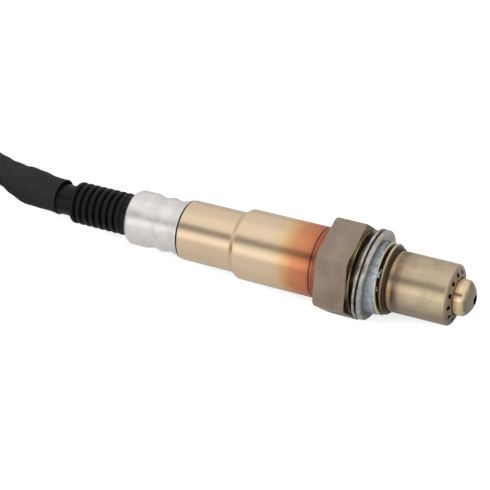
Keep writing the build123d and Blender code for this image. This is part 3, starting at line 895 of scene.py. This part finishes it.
def spline_points(points):
    """Points along the smooth line that has these control points."""
    curve = bpy.data.curves.new("cable_line", "CURVE")
    curve.dimensions = "3D"
    spline = curve.splines.new("NURBS")
    spline.points.add(len(points) - 1)
    for point, place in zip(spline.points, points):
        point.co = (*[c * MM for c in place], 1.0)
    spline.order_u = 3
    spline.use_endpoint_u = True
    curve.resolution_u = 10
    carrier = bpy.data.objects.new("cable_line", curve)
    bpy.context.collection.objects.link(carrier)
    bpy.context.view_layer.update()
    mesh = bpy.data.meshes.new_from_object(carrier)
    line = [vert.co.copy() / MM for vert in mesh.vertices]
    bpy.data.objects.remove(carrier)
    bpy.data.meshes.remove(mesh)
    return line


def evenly(line, step):
    """The line's points at even distances."""
    places = [line[0]]
    for after in line[1:]:
        while (after - places[-1]).length >= step:
            reach = (after - places[-1]).normalized() * step
            places.append(places[-1] + reach)
    places.append(line[-1])
    return places


def hump(along, height, middle, spread):
    return height * math.exp(-((along - middle) / spread) ** 2)


def sleeve_radius(along, angle):
    """Radius of the sleeve at a distance from its mouth: a flattened swell, then the bundled leads."""
    lip_height, lip_length = SLEEVE_LIP
    swell = hump(along, *SLEEVE_SWELL) - hump(along, *SLEEVE_WAIST)
    flare = lip_height * math.exp(-along / lip_length) + hump(along, *SLEEVE_FLARE)
    flat = hump(along, *SLEEVE_FLAT) * math.cos(2 * (angle - 0.6))
    creases = hump(along, *SLEEVE_CREASES) * math.sin(along * 1.3 + 2.2 * math.sin(angle))
    return CORD / 2 + swell + flare + flat + creases


def sleeve_rings(bm, line):
    """Rings of vertices round the line, and each ring's distance from the mouth."""
    side = (line[1] - line[0]).normalized().cross(Vector((0, 0, 1))).normalized()
    rings = []
    distances = []
    along = 0.0
    for index, point in enumerate(line):
        ahead = line[min(index + 1, len(line) - 1)] - line[max(index - 1, 0)]
        direction = ahead.normalized()
        side = (side - direction * side.dot(direction)).normalized()
        other = direction.cross(side)
        if index:
            along += (point - line[index - 1]).length
        distances.append(along)
        ring = []
        for step in range(SLEEVE_STEPS):
            angle = 2 * math.pi * step / SLEEVE_STEPS
            radius = sleeve_radius(along, angle)
            ring.append(bm.verts.new(point + (side * math.cos(angle) + other * math.sin(angle)) * radius))
        rings.append(ring)
    return rings, distances


def sleeve_faces(bm, uv, rings, distances):
    """Faces between the rings, with the weave's U round the sleeve and V along it."""
    for index, (first, second) in enumerate(zip(rings, rings[1:])):
        for step in range(SLEEVE_STEPS):
            after = (step + 1) % SLEEVE_STEPS
            face = bm.faces.new((first[step], first[after], second[after], second[step]))
            corners = ((step, index), (step + 1, index), (step + 1, index + 1), (step, index + 1))
            for loop, (around, station) in zip(face.loops, corners):
                loop[uv].uv = (around / SLEEVE_STEPS * math.pi * CORD, distances[station])


def new_verts(grown):
    return [item for item in grown["geom"] if isinstance(item, bmesh.types.BMVert)]


def fold_mouth(bm, ring, centre, heading):
    """Fold the sleeve's first ring in by its wall, run it back inside and close it there."""
    edges = [edge for edge in bm.edges if edge.is_boundary and all(vert in ring for vert in edge.verts)]
    mouth = bmesh.ops.extrude_edge_only(bm, edges=edges)
    rim = new_verts(mouth)
    for vert in rim:
        vert.co = vert.co + (centre - vert.co).normalized() * SLEEVE_WALL
    grown = [item for item in mouth["geom"] if isinstance(item, bmesh.types.BMEdge)]
    edges = [edge for edge in grown if all(vert in rim for vert in edge.verts)]
    deep = new_verts(bmesh.ops.extrude_edge_only(bm, edges=edges))
    bmesh.ops.translate(bm, verts=deep, vec=heading * MOUTH_DEPTH)
    bm.faces.new(in_order(deep, centre, heading))


def in_order(verts, centre, heading):
    """The verts of the mouth's floor in order round the axis."""
    side = heading.cross(Vector((0, 0, 1))).normalized()
    other = heading.cross(side)
    return sorted(verts, key=lambda v: math.atan2((v.co - centre).dot(other), (v.co - centre).dot(side)))


def cable():
    """Woven sleeve from its open mouth on the boot to the connector."""
    line = evenly(spline_points(cable_line()), SLEEVE_SAMPLING)
    bm = bmesh.new()
    uv = bm.loops.layers.uv.new("UVMap")
    rings, distances = sleeve_rings(bm, line)
    sleeve_faces(bm, uv, rings, distances)
    fold_mouth(bm, rings[0], line[0], (line[1] - line[0]).normalized())
    bm.faces.new(rings[-1])
    bmesh.ops.recalc_face_normals(bm, faces=bm.faces[:])
    piece = finished(
        "cable_sleeve", bm, woven_sleeve(), ["cable", "cable_coil", "cable_tail"], 50)
    path = [point * MM for point in line]
    length = sum((b - a).length for a, b in zip(path, path[1:]))


def bevel_edges(bm, edges, offset, segments):
    bmesh.ops.bevel(
        bm, geom=edges, offset=offset, offset_type="OFFSET", segments=segments, profile=0.5,
        affect="EDGES", material=-1,
    )


def box_mesh(low, top_shade_and_blotches, rounding, rim):
    """A box with its long edges rounded and its end rims softened."""
    bm = bmesh.new()
    bmesh.ops.create_cube(bm, size=1.0)
    size = Vector(top_shade_and_blotches) - Vector(low)
    bmesh.ops.scale(bm, vec=size, verts=bm.verts[:])
    bmesh.ops.translate(bm, vec=(Vector(top_shade_and_blotches) + Vector(low)) / 2, verts=bm.verts[:])
    long_edges = [e for e in bm.edges if abs(e.verts[0].co.x - e.verts[1].co.x) > size.x / 2]
    if rounding:
        bevel_edges(bm, long_edges, rounding, 8)
    if rim:
        rims = [e for e in bm.edges if abs(e.verts[0].co.x - e.verts[1].co.x) < 1e-6
                and len(e.link_faces) == 2 and any(abs(f.normal.x) > 0.9 for f in e.link_faces)]
        bevel_edges(bm, rims, rim, 3)
    bmesh.ops.recalc_face_normals(bm, faces=bm.faces[:])
    return bm


def connector_housing(plastic):
    """Four-way plug body: rounded sides, open ports, a seat for its seal and a groove for its lock."""
    y = PLUG_Y
    top = FLOOR_Z + PLUG_HEIGHT
    body = box_mesh(
        (PLUG_REAR, y - PLUG_WIDTH / 2, FLOOR_Z), (PLUG_FRONT, y + PLUG_WIDTH / 2, top),
        PLUG_ROUNDING, PLUG_RIM)
    piece = finished("plug_body", body, plastic, ["connector_housing"])
    half = Vector((0, PORT_SIZE / 2, PORT_SIZE / 2))
    rear = Vector((PLUG_REAR + SEAL_SEAT - PORT_OVERLAP, 0, 0))
    front = Vector((PLUG_FRONT + CUT_PAST, 0, 0))
    for side in (-1, 1):
        for level in (-1, 1):
            centre = Vector((0, y + side * PORT_PITCH_Y / 2, PLUG_AXIS_Z + level * PORT_PITCH_Z / 2))
            port = box_mesh(centre - half + rear, centre + half + front, PORT_ROUNDING, 0)
            bored(piece, made("port", port, MM))
    groove_half = LOCK_WIDTH / 2 + LOCK_CLEARANCE
    groove = box_mesh(
        (PLUG_FRONT - LOCK_LENGTH, y - groove_half, top - LOCK_GROOVE),
        (PLUG_FRONT + CUT_PAST, y + groove_half, top + 2 * CUT_PAST), 0, 0)
    bored(piece, made("groove", groove, MM))
    seat_radius = SEAL_RADIUS + SEAL_CLEARANCE
    seat = lathe((
        (PLUG_REAR - CUT_PAST, 0), (PLUG_REAR - CUT_PAST, seat_radius),
        (PLUG_REAR + SEAL_SEAT, seat_radius), (PLUG_REAR + SEAL_SEAT, 0)), 96)
    bmesh.ops.translate(seat, vec=(0, y, PLUG_AXIS_Z), verts=seat.verts[:])
    return bored(piece, made("seat", seat, MM))


def connector_lock(plastic):
    """Sliding lock plate with a raised grip at its rear."""
    bottom = FLOOR_Z + PLUG_HEIGHT - LOCK_GROOVE
    rear = PLUG_FRONT - LOCK_LENGTH + LOCK_CLEARANCE
    grip_length, grip_height = LOCK_GRIP
    corners = (
        (rear, bottom), (PLUG_FRONT, bottom), (PLUG_FRONT, bottom + LOCK_PLATE),
        (rear + grip_length, bottom + LOCK_PLATE), (rear + grip_length, bottom + grip_height),
        (rear, bottom + grip_height))
    bm = bmesh.new()
    face = bm.faces.new([bm.verts.new((x, PLUG_Y - LOCK_WIDTH / 2, z)) for x, z in corners])
    grown = bmesh.ops.extrude_face_region(bm, geom=[face])
    bmesh.ops.translate(bm, vec=(0, LOCK_WIDTH, 0), verts=new_verts(grown))
    bevel_edges(bm, bm.edges[:], LOCK_ROUNDING, 3)
    bmesh.ops.recalc_face_normals(bm, faces=bm.faces[:])
    return finished("plug_lock", bm, plastic, ["connector_lock"])


def connector_seal(rubber):
    """Rubber seal behind the plug, ribbed as such seals are."""
    start = PLUG_REAR - SEAL_LENGTH + SEAL_SEAT
    end = PLUG_REAR + SEAL_SEAT
    seal = lathe((
        (start, SEAL_BORE), *[(start + corner[0], *corner[1:]) for corner in SEAL_RIBS],
        (PLUG_REAR, SEAL_RADIUS), (end, SEAL_RADIUS), (end, SEAL_BORE)), 128)
    bmesh.ops.translate(seal, vec=(0, PLUG_Y, PLUG_AXIS_Z), verts=seal.verts[:])
    return finished("plug_seal", seal, rubber, ["connector_seal"])


def coil_tie(plastic):
    """Flat band round the two turns where they lie one on the other."""
    middle_z = CORD_LIE_Z + TURN_PITCH / 2
    bm = bmesh.new()
    loops = []
    for station in range(TIE_STATIONS):
        share = station / (TIE_STATIONS - 1)
        angle = math.radians(TIE_ANGLE) + (share - 0.5) * TIE_WIDTH / COIL_RADIUS
        outward = Vector((math.cos(angle), math.sin(angle), 0))
        thin = TIE_SOFT_EDGE if station in (0, TIE_STATIONS - 1) else 0.0
        pair = []
        for reach in (CORD / 2 + TIE_INSIDE + thin, CORD / 2 + TIE_OUTSIDE - thin):
            ring = []
            for step in range(TIE_STEPS):
                turned = 2 * math.pi * step / TIE_STEPS
                across = reach * math.cos(turned)
                up = reach * math.sin(turned) + math.copysign(TURN_PITCH / 2, math.sin(turned))
                place = Vector((COIL_CENTRE[0], COIL_CENTRE[1], middle_z + up))
                ring.append(bm.verts.new(place + outward * (COIL_RADIUS + across)))
            pair.append(ring)
        loops.append(pair)
    for step in range(TIE_STEPS):
        after = (step + 1) % TIE_STEPS
        for first, second in zip(loops, loops[1:]):
            for side in (0, 1):
                bm.faces.new((first[side][step], first[side][after], second[side][after], second[side][step]))
        for inner, outer in (loops[0], loops[-1]):
            bm.faces.new((inner[step], inner[after], outer[after], outer[step]))
    bmesh.ops.recalc_face_normals(bm, faces=bm.faces[:])
    return finished("tie_band", bm, plastic, ["coil_tie"], 40)


def dress_inner_nodes():
    """Finishes of the pieces that stay as they are."""
    finishes = {
        "white_ceramic": moulded("white_ceramic", "CFCDC4", "E4E2DA", 0.45),
        "grey_powder": moulded("grey_powder", "8A8A86", "A4A4A0", 0.8),
        "bright_steel": plain_metal("bright_steel", "B4B2AE", "D2D0CC", 0.25),
        "black_rubber": moulded("plain_rubber", "0E0E10", "1A1A1D", 0.5),
        "lead_covering": moulded("lead_covering", "5A5A5C", "6A6A6D", 0.45),
        "tinned_brass": plain_metal("tinned_brass", "B8AE92", "D4CCB2", 0.25),
    }
    for entry in frame["record"]["subparts"]:
        if entry["material_slot"] in finishes:
            node = frame["nodes"][entry["node"]]
            node.data.materials.clear()
            node.data.materials.append(finishes[entry["material_slot"]])


def emptied(holder):
    """The node tree of a material or a world, with nothing in it."""
    holder.use_nodes = True
    holder.node_tree.nodes.clear()
    return Tree(holder.node_tree)


def from_camera(right, up, back):
    return CAMERA_RIGHT * right + CAMERA_UP * up + CAMERA_BACK * back


def soft_box(name, place, size, power):
    """A soft lamp that points at the middle of the sensor."""
    data = bpy.data.lights.new(name, "AREA")
    data.shape = "RECTANGLE"
    data.size, data.size_y = size
    data.energy = power
    lamp = bpy.data.objects.new(name, data)
    bpy.context.collection.objects.link(lamp)
    lamp.visible_glossy = False
    aim = LAMP_AIM - Vector(place)
    lamp.matrix_world = Matrix.Translation(place) @ aim.to_track_quat("-Z", "Y").to_matrix().to_4x4()


def reflected_card(name, direction, distance, size, shade):
    """A dark or bright card along the sensor that only reflections see."""
    bm = bmesh.new()
    bmesh.ops.create_grid(bm, x_segments=1, y_segments=1, size=0.5)
    card = made(name, bm)
    facing = -direction.normalized()
    along = Vector((1, 0, 0))
    long_way = (along - facing * along.dot(facing)).normalized()
    short_way = facing.cross(long_way)
    turn = Matrix((long_way, short_way, facing)).transposed().to_4x4()
    card.matrix_world = (
        Matrix.Translation(direction.normalized() * distance) @ turn @ Matrix.Diagonal((*size, 1.0, 1.0)))
    material = bpy.data.materials.new(name)
    tree = emptied(material)
    glow = tree.node("ShaderNodeEmission", {}, {"Color": (shade, shade, shade)})
    tree.show("ShaderNodeOutputMaterial", glow)
    card.data.materials.append(material)
    card.visible_camera = False
    card.visible_diffuse = False
    card.visible_shadow = False
    card.visible_transmission = False


def white_surroundings():
    """A world that is white where it is seen, and a little darker as light."""
    world = bpy.data.worlds.new("studio")
    bpy.context.scene.world = world
    tree = emptied(world)
    seen = tree.ray("Is Camera Ray") + tree.ray("Is Glossy Ray") + tree.ray("Is Transmission Ray")
    strength = tree.node(
        "ShaderNodeMapRange", {"clamp": True}, {"Value": seen, "To Min": WORLD_LIGHT, "To Max": 1.0})
    white = tree.node("ShaderNodeBackground", {}, {"Color": (1.0, 1.0, 1.0), "Strength": strength})
    tree.show("ShaderNodeOutputWorld", white)


def pale_floor():
    """A floor that glows for the camera alone and takes the object's shadow."""
    material = bpy.data.materials.new("floor")
    tree = emptied(material)
    plain = tree.node("ShaderNodeBsdfDiffuse", {}, {"Color": FLOOR_GREY})
    glow = tree.node("ShaderNodeEmission", {}, {"Strength": FLOOR_GLOW})
    bright = tree.node("ShaderNodeAddShader", {}, {0: plain, 1: glow})
    choice = tree.node("ShaderNodeMixShader", {}, {0: tree.ray("Is Camera Ray"), 1: plain, 2: bright})
    tree.show("ShaderNodeOutputMaterial", choice)
    bm = bmesh.new()
    bmesh.ops.create_grid(bm, x_segments=1, y_segments=1, size=FLOOR_SIZE)
    bmesh.ops.translate(bm, vec=(0, 0, FLOOR_Z * MM - FLOOR_DROP), verts=bm.verts[:])
    floor = made("floor", bm)
    floor.data.materials.append(material)


def reflected_cards():
    """Cards that draw the stripes along the metal, and a low one that hides the coil and plug from it."""
    for name, turned, half_width, shade in CARDS:
        direction = Matrix.Rotation(-math.radians(turned), 3, "X") @ from_camera(*CARD_MIDDLE)
        width = 2 * CARD_DISTANCE * math.tan(math.radians(half_width))
        reflected_card(name, direction, CARD_DISTANCE, (CARD_LENGTH, width), shade)
    reflected_card("low_screen", Vector((0, -1, 0)), SCREEN_DISTANCE, SCREEN_SIZE, SCREEN_SHADE)


place_camera()
black_plastic = moulded("plug_plastic", "101011", "1B1B1D", 0.4)
carried_pieces = [
    connector_housing(black_plastic), connector_lock(moulded("lock_plastic", "7C7F84", "8E9196", 0.38)),
    connector_seal(moulded("seal_rubber", "0C0C0E", "161619", 0.5)), coil_tie(black_plastic),
]
carried_pieces += [frame["nodes"][f"connector_terminal_{number}"] for number in range(1, 5)]
cable()
white_surroundings()
pale_floor()
soft_box("key_lamp", (-0.35, -0.35, 0.75), (0.5, 0.5), 9.0)
soft_box("fill_lamp", (0.55, -0.2, 0.5), (0.4, 0.4), 4.0)
reflected_cards()
dress_inner_nodes()
sensor_housing()
seal_gasket()
thread_paste()
outer_protection_tube()
inner_protection_tube()
protective_shell()
crimp_collar()
corrugated_boot()

bpy.context.scene.view_settings.view_transform = "Standard"
